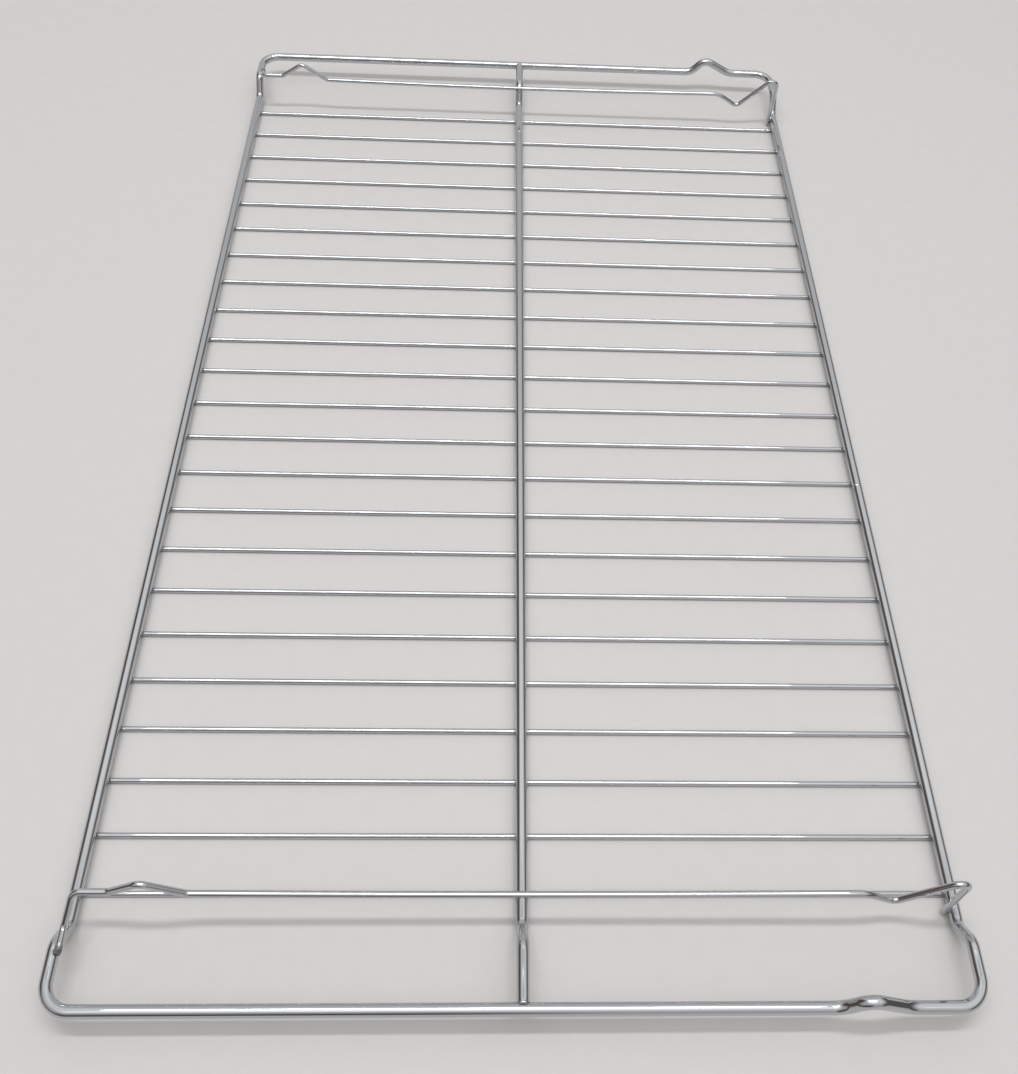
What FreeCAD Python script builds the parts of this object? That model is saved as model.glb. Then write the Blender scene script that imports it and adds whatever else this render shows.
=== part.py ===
import FreeCAD, Part
import math
import os

# Oven shelf rack of chromed steel wire, resistance welded.
# Millimetres. X runs across the shelf, Y along it and Z up, with the origin on the
# surface that the cross wires lie on, under the middle of the shelf.

# Wire diameters, and how deep two wires sink into each other at a weld
frame_wire = 5.5
cross_wire = 2.5
guard_wire = 3.0
weld_depth = 0.5
butt_weld_depth = 0.9

# Grid: the rails' axes, the cross wires and how far those reach past a rail's axis
rail_spacing = 382.0
cross_count = 23
cross_pitch = 25.0
cross_overhang = 1.5

# Along each end: last cross wire, guard, foot of the step, head of the step, end bar
guard_gap = 7.7
step_gap = 7.3
step_angle = 52.0
raised_length = 25.5
end_rise = 11.5

# Radii inside the bends of the thick wire
corner_bend = 8.5
step_bend = 4.0
stop_bend = 2.0

# Stop bump in each end bar: steep towards the middle, gentle towards the right rail
stop_from_rail = 49.5
stop_height = 9.2
stop_crown = 1.5
stop_steep_angle = 50.0
stop_gentle_angle = 30.0

# Guard: heights over the rails' axes, then places measured from the rails' axes
guard_bend = 2.5
ledge_rise = 24.2
run_rise = 22.0
run_sag = 2.5
run_arc_share = 0.8
bump_height = 10.0
bump_angle = 35.0
bump_from_rail = 34.7
dip_depth = 10.0
dip_angle = 34.0
dip_from_rail = 30.3
horn_angle = 46.5
leg_from_rail = 6.2

# Guard's slanting leg: where it lies down along the raised side of the frame
leg_lap = 3.8
leg_lie = 9.4
leg_seat_angle = 45.0

# Levels of the wires' axes
cross_z = cross_wire / 2
rail_z = cross_wire + frame_wire / 2 - weld_depth
end_z = rail_z + end_rise

# Places along and across the shelf
rail_x = rail_spacing / 2
last_cross_y = cross_pitch * (cross_count - 1) / 2
guard_y = last_cross_y + guard_gap
step_foot_y = guard_y + step_gap
step_head_y = step_foot_y + end_rise / math.tan(math.radians(step_angle))
end_y = step_head_y + raised_length


def point(x, y, z):
    return FreeCAD.Vector(x, y, z)


def bend_reach(radius, turn):
    """How far a bend's arc starts before its corner, for a turn in degrees."""
    return radius * math.tan(math.radians(turn) / 2)


def bend_at(before, corner, after, radius):
    """Start, middle and end of the arc that rounds a corner of a wire's route."""
    back = (before - corner).normalize()
    ahead = (after - corner).normalize()
    half = back.getAngle(ahead) / 2
    inward = (back + ahead).normalize()
    start = corner + back * (radius / math.tan(half))
    middle = corner + inward * (radius / math.sin(half) - radius)
    end = corner + ahead * (radius / math.tan(half))
    return start, middle, end


def bent_wire(route, radii, diameter, closed=False):
    """Round wire along straight runs joined by tangent bends, one radius per corner."""
    count = len(route)
    corners = range(count) if closed else range(1, count - 1)
    arcs = []
    for i, radius in zip(corners, radii):
        arcs.append(bend_at(route[i - 1], route[i], route[(i + 1) % count], radius))
    edges = []
    here = arcs[-1][2] if closed else route[0]
    for start, middle, end in arcs:
        edges.append(Part.LineSegment(here, start).toShape())
        edges.append(Part.Arc(start, middle, end).toShape())
        here = end
    if not closed:
        edges.append(Part.LineSegment(here, route[-1]).toShape())
    first = edges[0]
    tip = first.valueAt(first.FirstParameter)
    along = first.tangentAt(first.FirstParameter)
    section = Part.Wire([Part.Circle(tip, along, diameter / 2).toShape()])
    return Part.Wire(edges).makePipeShell([section], True, False)


def frame_end(side):
    """Corners and bend radii of one end of the frame, from the left rail to the right."""
    y = side * end_y
    corner = corner_bend + frame_wire / 2
    step = step_bend + frame_wire / 2
    stop = stop_bend + frame_wire / 2
    crown_x = rail_x - stop_from_rail
    crown_left = crown_x - stop_crown / 2 - bend_reach(stop, stop_steep_angle)
    crown_right = crown_x + stop_crown / 2 + bend_reach(stop, stop_gentle_angle)
    foot_left = crown_left - stop_height / math.tan(math.radians(stop_steep_angle))
    foot_right = crown_right + stop_height / math.tan(math.radians(stop_gentle_angle))
    corners = [
        (point(-rail_x, side * step_foot_y, rail_z), step),
        (point(-rail_x, side * step_head_y, end_z), step),
        (point(-rail_x, y, end_z), corner),
        (point(foot_left, y, end_z), stop),
        (point(crown_left, y, end_z + stop_height), stop),
        (point(crown_right, y, end_z + stop_height), stop),
        (point(foot_right, y, end_z), stop),
        (point(rail_x, y, end_z), corner),
        (point(rail_x, side * step_head_y, end_z), step),
        (point(rail_x, side * step_foot_y, rail_z), step),
    ]
    return corners


def make_frame():
    """The closed outer wire: two rails, four steps and two raised end bars."""
    loop = frame_end(1) + frame_end(-1)[::-1]
    route = [corner for corner, radius in loop]
    radii = [radius for corner, radius in loop]
    return bent_wire(route, radii, frame_wire, closed=True)


def make_centre_bar(frame):
    """The middle bar, stepped up at both ends and butt welded to the end bars."""
    step = step_bend + frame_wire / 2
    tip_y = end_y - frame_wire / 2 + butt_weld_depth
    route = [
        point(0, -tip_y, end_z),
        point(0, -step_head_y, end_z),
        point(0, -step_foot_y, rail_z),
        point(0, step_foot_y, rail_z),
        point(0, step_head_y, end_z),
        point(0, tip_y, end_z),
    ]
    return bent_wire(route, [step] * 4, frame_wire).cut(frame)


def make_cross_wire(y, frame, centre_bar):
    """A straight thin wire, sunk a little into the undersides of the three long wires."""
    reach = rail_x + cross_overhang
    start = point(-reach, y, cross_z)
    wire = Part.makeCylinder(cross_wire / 2, 2 * reach, start, point(1, 0, 0))
    return wire.cut(frame).cut(centre_bar)


def make_guard(side, frame):
    """The bent guard of one end, from its slanting left leg to its upright right leg."""
    y = side * guard_y
    bend = guard_bend + guard_wire / 2
    seat = frame_wire / 2 + guard_wire / 2 - weld_depth
    seat_x = -rail_x + seat * math.cos(math.radians(leg_seat_angle))
    seat_z = end_z + seat * math.sin(math.radians(leg_seat_angle))
    lap_y = side * (step_head_y + leg_lap)
    lie_y = side * (step_head_y + leg_lap - leg_lie)
    ledge_z = rail_z + ledge_rise
    run_z = rail_z + run_rise
    bump_x = -rail_x + bump_from_rail
    bump_slope = math.tan(math.radians(bump_angle))
    bump_foot_left = bump_x - bump_height / bump_slope
    bump_foot_right = bump_x + (bump_height + ledge_rise - run_rise) / bump_slope
    dip_x = rail_x - dip_from_rail
    dip_start = dip_x - dip_depth / math.tan(math.radians(dip_angle))
    run_middle = (bump_foot_right + dip_start) / 2
    leg_x = rail_x - seat
    horn_z = run_z - dip_depth + (leg_x - dip_x) * math.tan(math.radians(horn_angle))
    # The long run hangs in one shallow arc, which takes up that share of its two halves
    half_run = math.hypot((dip_start - bump_foot_right) / 2, run_sag)
    sag_turn = 2 * math.degrees(math.asin(run_sag / half_run))
    sag_bend = run_arc_share * half_run / math.tan(math.radians(sag_turn) / 2)
    route = [
        point(seat_x, lap_y, seat_z),
        point(seat_x, lie_y, seat_z),
        point(-rail_x + leg_from_rail, y, ledge_z),
        point(bump_foot_left, y, ledge_z),
        point(bump_x, y, ledge_z + bump_height),
        point(bump_foot_right, y, run_z),
        point(run_middle, y, run_z - run_sag),
        point(dip_start, y, run_z),
        point(dip_x, y, run_z - dip_depth),
        point(leg_x, y, horn_z),
        point(leg_x, y, rail_z - frame_wire / 2),
    ]
    radii = [bend] * 5 + [sag_bend] + [bend] * 3
    return bent_wire(route, radii, guard_wire).cut(frame)


parts = {}
parts["frame_wire"] = make_frame()
parts["centre_bar"] = make_centre_bar(parts["frame_wire"])
for i in range(cross_count):
    cross_y = -last_cross_y + i * cross_pitch
    parts[f"cross_wire_{i + 1:02d}"] = make_cross_wire(
        cross_y, parts["frame_wire"], parts["centre_bar"]
    )
parts["guard_wire_near"] = make_guard(-1, parts["frame_wire"])
parts["guard_wire_far"] = make_guard(1, parts["frame_wire"])

os.makedirs("parts", exist_ok=True)
for name, shape in parts.items():
    shape.exportStep(f"parts/{name}.step")
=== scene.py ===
import math
import bmesh
import bpy
from mathutils import Matrix, Vector, kdtree, noise


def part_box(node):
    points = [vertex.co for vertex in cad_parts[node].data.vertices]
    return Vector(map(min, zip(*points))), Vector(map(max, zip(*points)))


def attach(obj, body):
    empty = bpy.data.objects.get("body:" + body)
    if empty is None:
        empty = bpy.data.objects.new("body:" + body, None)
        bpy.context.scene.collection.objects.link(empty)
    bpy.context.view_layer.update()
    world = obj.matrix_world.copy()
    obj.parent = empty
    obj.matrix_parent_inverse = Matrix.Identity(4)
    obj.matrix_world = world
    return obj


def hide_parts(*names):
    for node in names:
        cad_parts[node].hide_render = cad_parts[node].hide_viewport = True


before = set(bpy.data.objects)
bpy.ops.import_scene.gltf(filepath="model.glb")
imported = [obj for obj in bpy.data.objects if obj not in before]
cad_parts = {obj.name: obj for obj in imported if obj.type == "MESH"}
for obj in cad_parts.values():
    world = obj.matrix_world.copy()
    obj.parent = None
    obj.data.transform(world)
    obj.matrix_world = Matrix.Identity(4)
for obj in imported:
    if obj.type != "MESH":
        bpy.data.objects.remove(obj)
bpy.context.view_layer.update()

# Frame wire: one thick steel wire bent round the whole shelf, stepped up to both end bars,
# with a stop bump in each bar. Its two ends meet in a butt weld on the right rail, and it
# was chromed with the rest of the rack after welding.
mm = 0.001
frame_radius = 2.75 * mm
frame_sides = 40
weld_depth = 0.5 * mm
end_rise = 11.5 * mm
step_angle = math.radians(52)
raised_length = 25.5 * mm
corner_bend = 11.25 * mm
step_bend = 6.75 * mm
stop_spacing_bend = 4.75 * mm
stop_crown_curve = 6.5 * mm
stop_steep_curve = 10.0 * mm
stop_gentle_curve = 16.0 * mm
stop_from_rail = 49.5 * mm
stop_height = 9.2 * mm
stop_crown = 1.5 * mm
stop_steep_angle = math.radians(50)
stop_gentle_angle = math.radians(30)
closing_weld_y = -54.2 * mm
closing_weld_bulge = 0.12 * mm
closing_weld_half = 0.9 * mm
weld_core = 1.0 * mm
weld_fade = 3.2 * mm

frame_low, frame_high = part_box("frame_wire")
rail_x = frame_high.x - frame_radius
end_y = frame_high.y - frame_radius
rail_z = frame_low.z + frame_radius
end_z = rail_z + end_rise
step_head_y = end_y - raised_length
step_foot_y = step_head_y - end_rise / math.tan(step_angle)

# The places of the cross wires along the shelf, and the level of the welds on top of them.
cross_names = [name for name in sorted(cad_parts) if name.startswith("cross_wire")]
cross_places = [sum(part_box(name), Vector()).y / 2 for name in cross_names]
weld_z = rail_z - frame_radius + weld_depth / 2


def bend_at(before, corner, after, radius):
    """Start, end, centre, axis and turn of the bend that rounds a corner of a wire."""
    back = (before - corner).normalized()
    ahead = (after - corner).normalized()
    turn = math.pi - back.angle(ahead)
    reach = radius * math.tan(turn / 2)
    centre = corner + (back + ahead).normalized() * (radius / math.cos(turn / 2))
    axis = ahead.cross(back).normalized()
    return corner + back * reach, corner + ahead * reach, centre, axis, turn


def new_wire_mesh():
    """An empty mesh whose points can carry their length along the wire and weld heat."""
    mesh = bmesh.new()
    mesh.verts.layers.float.new("along")
    mesh.verts.layers.float.new("weld_heat")
    return mesh


def mark_along(mesh, ring, length):
    """Notes on a ring of points how far along the wire it lies."""
    layer = mesh.verts.layers.float["along"]
    for edge in ring:
        for vert in edge.verts:
            vert[layer] = length


def draw_on(mesh, ring, move, length, swell=1.0, about=None):
    """Pulls the wire's open end on by a straight stretch, swollen or pinched there."""
    grown = bmesh.ops.extrude_edge_only(mesh, edges=ring)["geom"]
    tips = [part for part in grown if isinstance(part, bmesh.types.BMVert)]
    bmesh.ops.translate(mesh, verts=tips, vec=move)
    if about is not None:
        size = (swell, swell, swell)
        bmesh.ops.scale(mesh, verts=tips, vec=size, space=Matrix.Translation(-about))
    fresh = set(tips)
    edges = [part for part in grown if isinstance(part, bmesh.types.BMEdge)]
    ring = [edge for edge in edges if fresh.issuperset(edge.verts)]
    mark_along(mesh, ring, length)
    return ring


def run_straight(mesh, ring, here, there, length, welds):
    """A straight run, with rings close together where a weld heats the wire. A ring close to
    each end keeps the smooth shading of the bends off it."""
    shortest_run = 2 * mm
    end_ring = 0.3 * mm
    ring_gap = 0.4 * mm
    weld_width = 4 * mm
    weld_rings = (-4.5, -3, -1.8, -0.9, 0, 0.9, 1.8, 3, 4.5)
    way = there - here
    span = way.length
    heading = way.normalized()
    stops = {span}
    if span > shortest_run:
        stops.update((end_ring, span - end_ring))
    for weld in welds:
        reach = (weld - here).dot(heading)
        aside = (weld - here - heading * reach).length
        if aside < weld_width:
            near = [reach + offset * mm for offset in weld_rings]
            stops.update(stop for stop in near if ring_gap < stop < span - ring_gap)
    done = 0.0
    for stop in sorted(stops):
        ring = draw_on(mesh, ring, heading * (stop - done), length + stop)
        done = stop
    return ring


def draw_wire(mesh, route, bends, radius, sides, welds=(), closed=False):
    """Round wire along a route of straight runs, bent at its corners. Returns both end rings."""
    fewest_steps = 4
    degrees_a_step = 6
    count = len(route)
    corners = range(count) if closed else range(1, count - 1)
    turns = []
    for i, bend in zip(corners, bends):
        turns.append(bend_at(route[i - 1], route[i], route[(i + 1) % count], bend))
    here = turns[-1][1] if closed and turns else route[0]
    ahead = turns[0][0] if turns else route[-1]
    facing = (ahead - here).to_track_quat("Z", "Y").to_matrix().to_4x4()
    made = bmesh.ops.create_circle(
        mesh, segments=sides, radius=radius, matrix=Matrix.Translation(here) @ facing
    )
    first = list(dict.fromkeys(edge for vert in made["verts"] for edge in vert.link_edges))
    ring = first
    length = 0.0
    for start, end, centre, axis, turn in turns:
        ring = run_straight(mesh, ring, here, start, length, welds)
        length += (start - here).length
        bend_steps = max(fewest_steps, math.ceil(math.degrees(turn) / degrees_a_step))
        for step in range(bend_steps):
            around = list(dict.fromkeys(vert for edge in ring for vert in edge.verts)) + ring
            spun = bmesh.ops.spin(
                mesh, geom=around, cent=centre, axis=axis, angle=turn / bend_steps, steps=1
            )
            ring = [part for part in spun["geom_last"] if isinstance(part, bmesh.types.BMEdge)]
            length += (end - centre).length * turn / bend_steps
            mark_along(mesh, ring, length)
        here = end
    if not closed:
        ring = run_straight(mesh, ring, here, route[-1], length, welds)
    return first, ring


def heat_up(mesh, welds, core, fade):
    """Marks how far the nearest weld's heat has burnt the plating: wholly within the core,
    and not at all from the fade distance on."""
    layer = mesh.verts.layers.float["weld_heat"]
    weld_map = kdtree.KDTree(len(welds))
    for i, weld in enumerate(welds):
        weld_map.insert(weld, i)
    weld_map.balance()
    for vert in mesh.verts:
        gap = weld_map.find(vert.co)[2]
        vert[layer] = min(1.0, max(vert[layer], (fade - gap) / (fade - core)))


def finish_wire(mesh, name, material):
    """Closes the wire's mesh, turns its faces out and stands it in for its plain solid."""
    merge_gap = 0.002 * mm
    bmesh.ops.remove_doubles(mesh, verts=mesh.verts, dist=merge_gap)
    bmesh.ops.recalc_face_normals(mesh, faces=mesh.faces)
    # Only the end faces, which have as many sides as the wire, are flat.
    for face in mesh.faces:
        face.smooth = len(face.verts) <= 4
    data = bpy.data.meshes.new(name + "_chromed")
    mesh.to_mesh(data)
    mesh.free()
    piece = bpy.data.objects.new(name + "_chromed", data)
    bpy.context.scene.collection.objects.link(piece)
    data.materials.append(material)
    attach(piece, "root")
    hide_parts(name)


def linear(hex_colour):
    """An sRGB hex colour as linear red, green, blue and alpha."""
    parts = [int(hex_colour[i:i + 2], 16) / 255 for i in (1, 3, 5)]
    return [p / 12.92 if p <= 0.04045 else ((p + 0.055) / 1.055) ** 2.4 for p in parts] + [1.0]


def add_node(tree, kind, settings=None, links=None):
    """Adds a node, sets its properties or input values, and links sockets to its inputs."""
    node = tree.nodes.new(kind)
    for key, value in (settings or {}).items():
        if isinstance(key, str) and hasattr(node, key):
            setattr(node, key, value)
        else:
            node.inputs[key].default_value = value
    for key, socket in (links or {}).items():
        tree.links.new(socket, node.inputs[key])
    return node


def chrome_plate(name, radius):
    """Bright chrome plate on drawn wire: a mirror, with faint lines along the wire from the
    drawing die, cloudy patches, and a dull dark grey scale where a weld was hot."""
    chrome = "#C6C9CC"
    clouded = "#BFC1C3"
    burnt = "#4A4A49"
    # Real die lines are finer. They are drawn this coarse so that they show.
    die_line = 0.3 * mm
    die_line_length = 45 * mm
    die_line_depth = 0.01 * mm
    cloud = 28 * mm
    scale_grain = 0.7 * mm
    thinnest_scale = 0.6
    polished = 0.02
    scratched = 0.055
    scale_roughness = 0.7
    scale_metallic = 0.1
    material = bpy.data.materials.new(name)
    material.use_nodes = True
    tree = material.node_tree
    shader = tree.nodes["Principled BSDF"]
    place = add_node(tree, "ShaderNodeTexCoord")
    along = add_node(tree, "ShaderNodeAttribute", {"attribute_name": "along"})
    heat = add_node(tree, "ShaderNodeAttribute", {"attribute_name": "weld_heat"})
    lines_around = radius / die_line
    along_scaled = add_node(
        tree,
        "ShaderNodeMath",
        {"operation": "MULTIPLY", 1: 1 / (die_line_length * lines_around)},
        {0: along.outputs["Fac"]},
    )
    lines = add_node(
        tree,
        "ShaderNodeTexNoise",
        {"noise_dimensions": "4D", "Scale": lines_around, "Detail": 3.0, "Roughness": 0.6},
        {"Vector": place.outputs["Normal"], "W": along_scaled.outputs[0]},
    )
    clouds = add_node(
        tree,
        "ShaderNodeTexNoise",
        {"Scale": 1 / cloud, "Detail": 4.0, "Roughness": 0.55},
        {"Vector": place.outputs["Object"]},
    )
    scale = add_node(
        tree,
        "ShaderNodeTexNoise",
        {"Scale": 1 / scale_grain, "Detail": 3.0, "Roughness": 0.65},
        {"Vector": place.outputs["Object"]},
    )
    cover = add_node(
        tree,
        "ShaderNodeMapRange",
        {"From Min": 0.35, "From Max": 0.62, "To Min": thinnest_scale, "To Max": 1.0},
        {"Value": scale.outputs["Fac"]},
    )
    burn = add_node(
        tree,
        "ShaderNodeMath",
        {"operation": "MULTIPLY"},
        {0: cover.outputs[0], 1: heat.outputs["Fac"]},
    )
    plate = add_node(
        tree,
        "ShaderNodeMix",
        {"data_type": "RGBA", 6: linear(chrome), 7: linear(clouded)},
        {0: clouds.outputs["Fac"]},
    )
    tint = add_node(
        tree,
        "ShaderNodeMix",
        {"data_type": "RGBA", 7: linear(burnt)},
        {0: burn.outputs[0], 6: plate.outputs[2]},
    )
    tree.links.new(tint.outputs[2], shader.inputs["Base Color"])
    metal = add_node(
        tree,
        "ShaderNodeMath",
        {"operation": "MULTIPLY_ADD", 1: scale_metallic - 1.0, 2: 1.0},
        {0: burn.outputs[0]},
    )
    tree.links.new(metal.outputs[0], shader.inputs["Metallic"])
    gloss = add_node(
        tree,
        "ShaderNodeMapRange",
        {"From Min": 0.3, "From Max": 0.7, "To Min": polished, "To Max": scratched},
        {"Value": lines.outputs["Fac"]},
    )
    dulled = add_node(
        tree,
        "ShaderNodeMath",
        {"operation": "MULTIPLY_ADD", 1: scale_roughness},
        {0: burn.outputs[0], 2: gloss.outputs[0]},
    )
    tree.links.new(dulled.outputs[0], shader.inputs["Roughness"])
    relief = add_node(
        tree,
        "ShaderNodeBump",
        {"Strength": 0.02, "Distance": die_line_depth},
        {"Height": lines.outputs["Fac"]},
    )
    tree.links.new(relief.outputs[0], shader.inputs["Normal"])
    return material


def frame_end(side):
    """Corners and bend radii of one end of the frame, from the left rail to the right. The
    stop's corners are spaced for a tight bend, and the wire takes them in softer curves."""
    crown_x = rail_x - stop_from_rail
    crown_left = crown_x - stop_crown / 2 - stop_spacing_bend * math.tan(stop_steep_angle / 2)
    crown_right = crown_x + stop_crown / 2 + stop_spacing_bend * math.tan(stop_gentle_angle / 2)
    foot_left = crown_left - stop_height / math.tan(stop_steep_angle)
    foot_right = crown_right + stop_height / math.tan(stop_gentle_angle)
    y = side * end_y
    return [
        (Vector((-rail_x, side * step_foot_y, rail_z)), step_bend),
        (Vector((-rail_x, side * step_head_y, end_z)), step_bend),
        (Vector((-rail_x, y, end_z)), corner_bend),
        (Vector((foot_left, y, end_z)), stop_steep_curve),
        (Vector((crown_left, y, end_z + stop_height)), stop_crown_curve),
        (Vector((crown_right, y, end_z + stop_height)), stop_crown_curve),
        (Vector((foot_right, y, end_z)), stop_gentle_curve),
        (Vector((rail_x, y, end_z)), corner_bend),
        (Vector((rail_x, side * step_head_y, end_z)), step_bend),
        (Vector((rail_x, side * step_foot_y, rail_z)), step_bend),
    ]


frame_loop = frame_end(1) + frame_end(-1)[::-1]
rail_welds = [Vector((side * rail_x, y, weld_z)) for side in (-1, 1) for y in cross_places]
closing_weld = Vector((rail_x, closing_weld_y, rail_z))
frame_mesh = new_wire_mesh()
draw_wire(
    frame_mesh,
    [corner for corner, bend in frame_loop],
    [bend for corner, bend in frame_loop],
    frame_radius,
    frame_sides,
    rail_welds + [closing_weld],
    closed=True,
)
heat_up(frame_mesh, rail_welds, weld_core, weld_fade)
# The butt weld's flash was dressed flush on the outside, so its ring sits a little inwards.
flash_axis = closing_weld - Vector((closing_weld_bulge, 0, 0))
flash_start = flash_axis - Vector((0, closing_weld_half, 0))
made = bmesh.ops.create_circle(
    frame_mesh,
    cap_ends=True,
    segments=frame_sides,
    radius=frame_radius - closing_weld_bulge,
    matrix=Matrix.Translation(flash_start) @ Matrix.Rotation(math.pi / 2, 4, "X"),
)
flash_ring = list(dict.fromkeys(edge for vert in made["verts"] for edge in vert.link_edges))
flash_move = Vector((0, closing_weld_half, 0))
flash_swell = (frame_radius + closing_weld_bulge) / (frame_radius - closing_weld_bulge)
flash_ring = draw_on(frame_mesh, flash_ring, flash_move, 0.0, flash_swell, flash_axis)
flash_end = flash_axis + flash_move
flash_ring = draw_on(frame_mesh, flash_ring, flash_move, 0.0, 1 / flash_swell, flash_end)
bmesh.ops.contextual_create(frame_mesh, geom=flash_ring)
frame_chrome = chrome_plate("bright chrome plate, 5.5 mm wire", frame_radius)
finish_wire(frame_mesh, "frame_wire", frame_chrome)

# Centre bar: the same thick wire along the middle, lying on the cross wires, with both ends
# stepped up and butt welded to the end bars. The weld's pressure upsets its ends a little.
upset_length = 1.6 * mm
upset_swell = 1.16
upset_lag = 0.96
upset_first_swell = upset_lag * math.sqrt(upset_swell)
bar_tip_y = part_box("centre_bar")[1].y
bar_route = [
    Vector((0, -bar_tip_y + upset_length, end_z)),
    Vector((0, -step_head_y, end_z)),
    Vector((0, -step_foot_y, rail_z)),
    Vector((0, step_foot_y, rail_z)),
    Vector((0, step_head_y, end_z)),
    Vector((0, bar_tip_y - upset_length, end_z)),
]
bar_welds = [Vector((0, y, weld_z)) for y in cross_places]
bar_mesh = new_wire_mesh()
bar_ends = draw_wire(bar_mesh, bar_route, [step_bend] * 4, frame_radius, frame_sides, bar_welds)
for side, ring in zip((-1, 1), bar_ends):
    tip = Vector((0, side * bar_tip_y, end_z))
    half_move = Vector((0, side * upset_length / 2, 0))
    half_way = tip - half_move
    ring = draw_on(bar_mesh, ring, half_move, 0.0, upset_first_swell, half_way)
    ring = draw_on(bar_mesh, ring, half_move, 0.0, upset_swell / upset_first_swell, tip)
    bmesh.ops.contextual_create(bar_mesh, geom=ring)
bar_tips = [Vector((0, side * bar_tip_y, end_z)) for side in (-1, 1)]
heat_up(bar_mesh, bar_welds + bar_tips, weld_core, weld_fade)
finish_wire(bar_mesh, "centre_bar", frame_chrome)

# Cross wires: straight thin wires laid in a row and welded under both rails and the centre
# bar. The weld squeezes out a small collar of metal, and the sheared ends have a worn edge.
cross_sides = 20
shear_edge = 0.25 * mm
collar_size = Vector((2.2, 1.55, 0.5)) * mm
collar_sides = 14
collar_rings = 8
cross_weld_core = 1.4 * mm
cross_weld_fade = 3.8 * mm
cross_low, cross_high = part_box(cross_names[0])
cross_radius = (cross_high.z - cross_low.z) / 2
cross_chrome = chrome_plate("bright chrome plate, 2.5 mm wire", cross_radius)
for name in cross_names:
    low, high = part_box(name)
    axis_y = (low.y + high.y) / 2
    axis_z = low.z + cross_radius
    inset_left = Vector((low.x + shear_edge, axis_y, axis_z))
    inset_right = Vector((high.x - shear_edge, axis_y, axis_z))
    welds = [Vector((x, axis_y, weld_z)) for x in (-rail_x, 0, rail_x)]
    mesh = new_wire_mesh()
    ends = draw_wire(mesh, [inset_left, inset_right], [], cross_radius, cross_sides, welds)
    for side, ring in zip((-1, 1), ends):
        move = Vector((side * shear_edge, 0, 0))
        tip = (inset_left if side < 0 else inset_right) + move
        ring = draw_on(mesh, ring, move, 0.0, 1 - shear_edge / cross_radius, tip)
        bmesh.ops.contextual_create(mesh, geom=ring)
    for weld in welds:
        shape = Matrix.Translation(weld) @ Matrix.Diagonal((*collar_size, 1))
        bmesh.ops.create_uvsphere(
            mesh, u_segments=collar_sides, v_segments=collar_rings, radius=1, matrix=shape
        )
    heat_up(mesh, welds, cross_weld_core, cross_weld_fade)
    finish_wire(mesh, name, cross_chrome)

# Guards: one bent wire of middle thickness at each end. Its slanting left leg lies on the
# raised side of the frame, its right leg stands against the rail, and both are welded there.
guard_radius = 1.5 * mm
guard_sides = 28
guard_bend = 4.0 * mm
dip_shoulder_curve = 14.0 * mm
ledge_rise = 24.2 * mm
run_rise = 22.0 * mm
run_sag = 2.5 * mm
run_arc_share = 0.8
bump_height = 10.0 * mm
bump_angle = math.radians(35)
bump_from_rail = 34.7 * mm
dip_depth = 10.0 * mm
dip_angle = math.radians(34)
dip_from_rail = 30.3 * mm
horn_angle = math.radians(46.5)
leg_from_rail = 6.2 * mm
leg_lap = 3.8 * mm
leg_lie = 9.4 * mm
leg_seat_angle = math.radians(45)
lap_weld_inset = 1.2 * mm
bead_size = 1.6 * mm
bead_lumps = 0.45 * mm
bead_grain = 0.9 * mm
bead_rise = 0.85
bead_core = 2.2 * mm
bead_fade = 3.6 * mm
leg_collar_size = Vector((0.6, 1.7, 2.3)) * mm
leg_collar_rings = 10
leg_weld_core = 1.0 * mm
leg_weld_fade = 2.6 * mm
guard_chrome = chrome_plate("bright chrome plate, 3 mm wire", guard_radius)
seat = frame_radius + guard_radius - weld_depth
seat_x = -rail_x + seat * math.cos(leg_seat_angle)
seat_z = end_z + seat * math.sin(leg_seat_angle)
ledge_z = rail_z + ledge_rise
run_z = rail_z + run_rise
bump_x = -rail_x + bump_from_rail
bump_foot_left = bump_x - bump_height / math.tan(bump_angle)
bump_foot_right = bump_x + (bump_height + ledge_rise - run_rise) / math.tan(bump_angle)
dip_x = rail_x - dip_from_rail
dip_start = dip_x - dip_depth / math.tan(dip_angle)
run_middle = (bump_foot_right + dip_start) / 2
leg_x = rail_x - seat
horn_z = run_z - dip_depth + (leg_x - dip_x) * math.tan(horn_angle)
half_run = math.hypot((dip_start - bump_foot_right) / 2, run_sag)
sag_turn = 2 * math.asin(run_sag / half_run)
sag_bend = run_arc_share * half_run / math.tan(sag_turn / 2)
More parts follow.
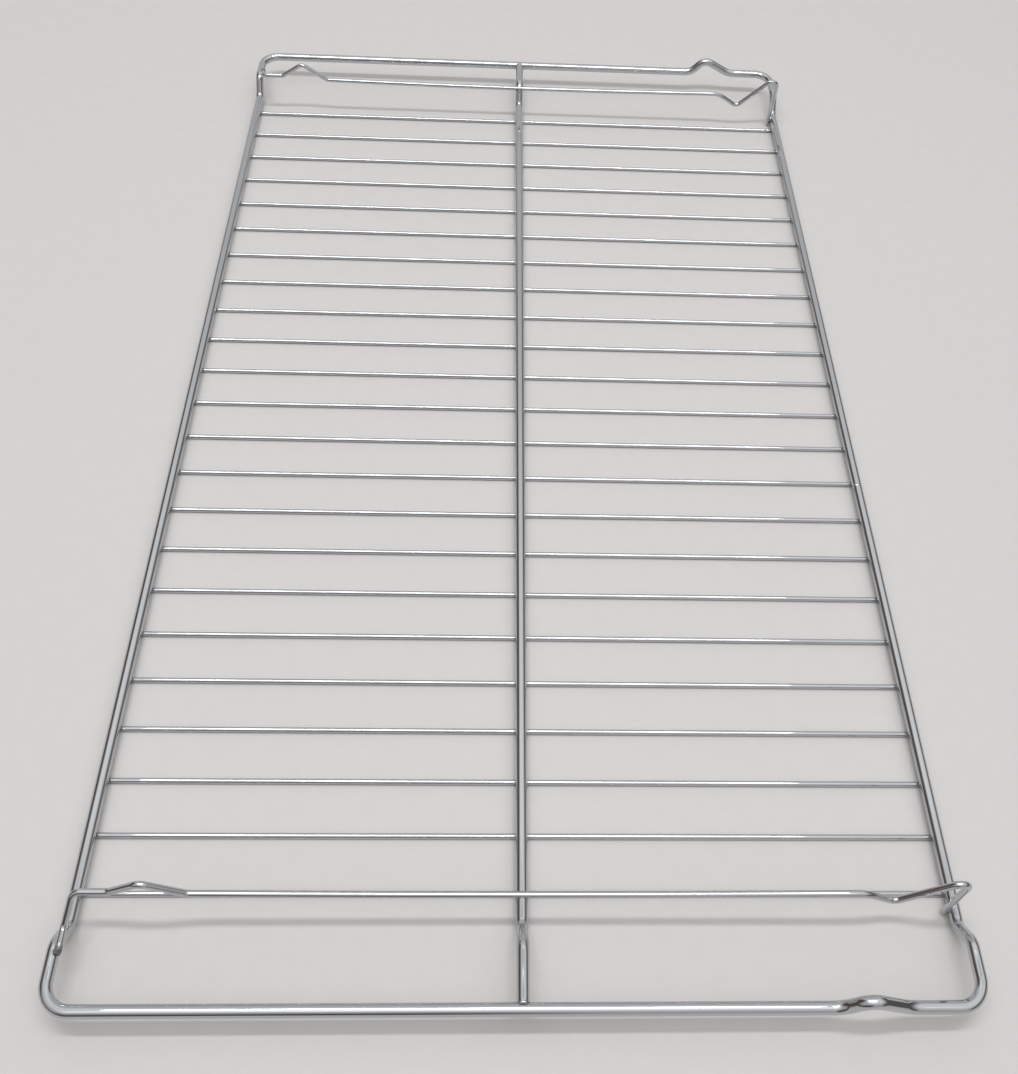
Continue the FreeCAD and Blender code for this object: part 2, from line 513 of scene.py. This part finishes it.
for name, side in (("guard_wire_near", -1), ("guard_wire_far", 1)):
    low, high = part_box(name)
    y = side * (min(abs(low.y), abs(high.y)) + guard_radius)
    lap_y = side * (step_head_y + leg_lap)
    lie_y = side * (step_head_y + leg_lap - leg_lie)
    lap_tip = Vector((seat_x, lap_y - side * shear_edge, seat_z))
    leg_tip = Vector((leg_x, y, rail_z - frame_radius + shear_edge))
    route = [
        lap_tip,
        Vector((seat_x, lie_y, seat_z)),
        Vector((-rail_x + leg_from_rail, y, ledge_z)),
        Vector((bump_foot_left, y, ledge_z)),
        Vector((bump_x, y, ledge_z + bump_height)),
        Vector((bump_foot_right, y, run_z)),
        Vector((run_middle, y, run_z - run_sag)),
        Vector((dip_start, y, run_z)),
        Vector((dip_x, y, run_z - dip_depth)),
        Vector((leg_x, y, horn_z)),
        leg_tip,
    ]
    bends = [guard_bend] * 5 + [sag_bend, dip_shoulder_curve] + [guard_bend] * 2
    lap_weld = Vector((seat_x, lap_y - side * lap_weld_inset, seat_z))
    leg_weld = Vector((rail_x - frame_radius + weld_depth / 2, y, rail_z))
    mesh = new_wire_mesh()
    ends = draw_wire(mesh, route, bends, guard_radius, guard_sides, [lap_weld, leg_weld])
    for tip, move, ring in zip(
        (lap_tip, leg_tip),
        (Vector((0, side * shear_edge, 0)), Vector((0, 0, -shear_edge))),
        ends,
    ):
        ring = draw_on(mesh, ring, move, 0.0, 1 - shear_edge / guard_radius, tip + move)
        bmesh.ops.contextual_create(mesh, geom=ring)
    # A rough bead of weld metal lies where the slanting leg ends on the frame.
    raised_axis = Vector((-rail_x, lap_y, end_z))
    bead_centre = raised_axis.lerp(Vector((seat_x, lap_y, seat_z)), bead_rise)
    bead = bmesh.ops.create_icosphere(
        mesh, subdivisions=3, radius=bead_size, matrix=Matrix.Translation(bead_centre)
    )
    for vert in bead["verts"]:
        out = (vert.co - bead_centre).normalized()
        vert.co += out * bead_lumps * noise.noise(vert.co / bead_grain)
    shape = Matrix.Translation(leg_weld) @ Matrix.Diagonal((*leg_collar_size, 1))
    bmesh.ops.create_uvsphere(
        mesh, u_segments=collar_sides, v_segments=leg_collar_rings, radius=1, matrix=shape
    )
    heat_up(mesh, [bead_centre], bead_core, bead_fade)
    heat_up(mesh, [leg_weld], leg_weld_core, leg_weld_fade)
    finish_wire(mesh, name, guard_chrome)

# Floor: the plain pale bench top that the shelf lies on, of board faced with matt laminate.
# It reaches far past the shelf, so that the wires mirror it up to the horizon.
bench_half = 30.0
bench_grain = 9 * mm
bench_roughness = 0.65
bench_tone = "#D1CFCE"
bench_paler_tone = "#D6D4D3"
floor_mesh = bmesh.new()
bmesh.ops.create_grid(floor_mesh, x_segments=1, y_segments=1, size=bench_half)
floor_data = bpy.data.meshes.new("bench_top")
floor_mesh.to_mesh(floor_data)
floor_mesh.free()
bench = bpy.data.objects.new("bench_top", floor_data)
bpy.context.scene.collection.objects.link(bench)
# Matt laminate scatters the light evenly, with a faint mottle in its pressed face.
laminate = bpy.data.materials.new("pale matt laminate")
laminate.use_nodes = True
bench_tree = laminate.node_tree
bench_shader = bench_tree.nodes["Principled BSDF"]
bench_shader.inputs["Roughness"].default_value = bench_roughness
bench_place = add_node(bench_tree, "ShaderNodeTexCoord")
bench_mottle = add_node(
    bench_tree,
    "ShaderNodeTexNoise",
    {"Scale": 1 / bench_grain, "Detail": 3.0},
    {"Vector": bench_place.outputs["Object"]},
)
bench_colour = add_node(
    bench_tree,
    "ShaderNodeMix",
    {"data_type": "RGBA", 6: linear(bench_tone), 7: linear(bench_paler_tone)},
    {0: bench_mottle.outputs["Fac"]},
)
bench_tree.links.new(bench_colour.outputs[2], bench_shader.inputs["Base Color"])
floor_data.materials.append(laminate)

# Light: a strip lamp under the ceiling and a thin weak one behind it, in a soft room whose
# ceiling is bright and whose walls get darker towards the floor, most of all on the left.
room_level = 1.6
end_wall_share = 0.5
for name, size, place, watts in (
    ("ceiling_strip", (1.31, 0.126), (-0.025, -0.02, 1.88), 11.4),
    ("thin_strip", (1.4, 0.01), (0.0, 0.146, 1.88), 0.05),
):
    strip = bpy.data.lights.new(name, "AREA")
    strip.shape = "RECTANGLE"
    strip.size, strip.size_y = size
    strip.energy = watts
    strip_lamp = bpy.data.objects.new(name, strip)
    strip_lamp.location = place
    bpy.context.scene.collection.objects.link(strip_lamp)

room = bpy.data.worlds.new("soft_room")
bpy.context.scene.world = room
room.use_nodes = True
room_tree = room.node_tree
sky_way = add_node(room_tree, "ShaderNodeTexCoord")
sky_parts = add_node(
    room_tree, "ShaderNodeSeparateXYZ", None, {0: sky_way.outputs["Generated"]}
)
# Each wall's tone from the horizon to the ceiling, by the sine of the height above it. On
# the far side it is by the sine of the angle from straight up, from the ceiling down.
walls = {
    "left": ((0.0, "#9C9997"), (0.05, "#95918F"), (0.1, "#4C413F"), (0.5, "#514643"),
             (0.68, "#736D6B"), (0.82, "#B2B1B1"), (0.9, "#C8C7C7"), (1.0, "#C8C8C8")),
    "left_near": ((0.0, "#9C9997"), (0.05, "#95918F"), (0.1, "#4C413F"), (0.24, "#5A504D"),
                  (0.4, "#8E8987"), (0.82, "#B2B1B1"), (0.9, "#C8C7C7"), (1.0, "#C8C8C8")),
    "right": ((0.0, "#9C9997"), (0.05, "#95918F"), (0.1, "#4C4847"), (0.3, "#565251"),
              (0.45, "#7C7979"), (0.62, "#AEADAD"), (0.8, "#CCCCCC"), (1.0, "#C8C8C8")),
    "far": ((0.2, "#B0B0B0"), (0.27, "#B4B4B4"), (0.33, "#D4D4D4"), (0.42, "#CFCFCF"),
            (0.54, "#C5C5C6"), (0.7, "#ABABAC"), (1.0, "#A19F9E")),
    "near_left": ((0.0, "#959192"), (0.07, "#7C7879"), (0.16, "#343032"), (0.3, "#423E40"),
                  (0.5, "#757274"), (0.7, "#9D9C9D"), (0.875, "#CACACA"), (0.96, "#FFFFFF")),
    "near_right": ((0.0, "#9C9997"), (0.1, "#959091"), (0.6, "#A6A3A4"), (0.77, "#BAB8B9"),
                   (0.875, "#CACACA"), (0.96, "#FFFFFF")),
}
tones = {}
for wall, stops in walls.items():
    rise = sky_parts.outputs["Y" if wall == "far" else "Z"]
    ramp = add_node(room_tree, "ShaderNodeValToRGB", None, {0: rise})
    bands = ramp.color_ramp.elements
    while len(bands) < len(stops):
        bands.new(1.0)
    for band, (height, tone) in zip(bands, stops):
        band.position = height
        band.color = linear(tone)
    tones[wall] = ramp.outputs[0]
across = add_node(
    room_tree, "ShaderNodeMath", {"operation": "ABSOLUTE"}, {0: sky_parts.outputs["X"]}
)
lengthways = add_node(
    room_tree, "ShaderNodeMath", {"operation": "ABSOLUTE"}, {0: sky_parts.outputs["Y"]}
)
aside = add_node(
    room_tree,
    "ShaderNodeMath",
    {"operation": "MULTIPLY_ADD", 1: -end_wall_share},
    {0: lengthways.outputs[0], 2: across.outputs[0]},
)
# One wall runs into the next over these stretches of the direction across or along the shelf.
blends = {}
for blend, way, start, stop in (
    ("left near to far", sky_parts.outputs["Y"], -0.2, 0.15),
    ("left to right", sky_parts.outputs["X"], -0.1, 0.1),
    ("near left to right", sky_parts.outputs["X"], -0.04, 0.14),
    ("near to far", sky_parts.outputs["Y"], -0.05, 0.2),
    ("ends to sides", aside.outputs[0], 0.1, 0.4),
):
    blends[blend] = add_node(
        room_tree,
        "ShaderNodeMapRange",
        {"interpolation_type": "SMOOTHSTEP", "From Min": start, "From Max": stop},
        {"Value": way},
    ).outputs[0]
for blend, first, second, joined in (
    ("left near to far", "left_near", "left", "left_side"),
    ("left to right", "left_side", "right", "sides"),
    ("near left to right", "near_left", "near_right", "near"),
    ("near to far", "near", "far", "ends"),
    ("ends to sides", "ends", "sides", "room"),
):
    tones[joined] = add_node(
        room_tree,
        "ShaderNodeMix",
        {"data_type": "RGBA"},
        {0: blends[blend], 6: tones[first], 7: tones[second]},
    ).outputs[2]
room_light = room_tree.nodes["Background"]
room_light.inputs["Strength"].default_value = room_level
room_tree.links.new(tones["room"], room_light.inputs["Color"])
bpy.context.scene.view_settings.view_transform = "Standard"

# Camera: stands over the near end, looking down along the shelf, turned a little clockwise.
# Its place, angles and lens were fitted to where the wires lie in the picture, in pixels.
photo_width = 1018
photo_height = 1074
camera_place = Vector((-21.1, -436.8, 534.7)) * mm
camera_pitch = math.radians(50.1)
camera_yaw = math.radians(4.65)
camera_roll = math.radians(4.83)
focal_pixels = 1168.7
optical_centre = (545, 400)
sensor = 36.0
camera = bpy.data.cameras.new("photo_camera")
camera.sensor_width = sensor
camera.lens = focal_pixels * sensor / photo_height
camera.shift_x = (photo_width / 2 - optical_centre[0]) / photo_height
camera.shift_y = (optical_centre[1] - photo_height / 2) / photo_height
camera.clip_start = 0.01
eye = bpy.data.objects.new("photo_camera", camera)
eye.matrix_world = (
    Matrix.Translation(camera_place)
    @ Matrix.Rotation(-camera_yaw, 4, "Z")
    @ Matrix.Rotation(math.pi / 2 - camera_pitch, 4, "X")
    @ Matrix.Rotation(camera_roll, 4, "Z")
)
bpy.context.scene.collection.objects.link(eye)
bpy.context.scene.camera = eye

bpy.context.view_layer.update()
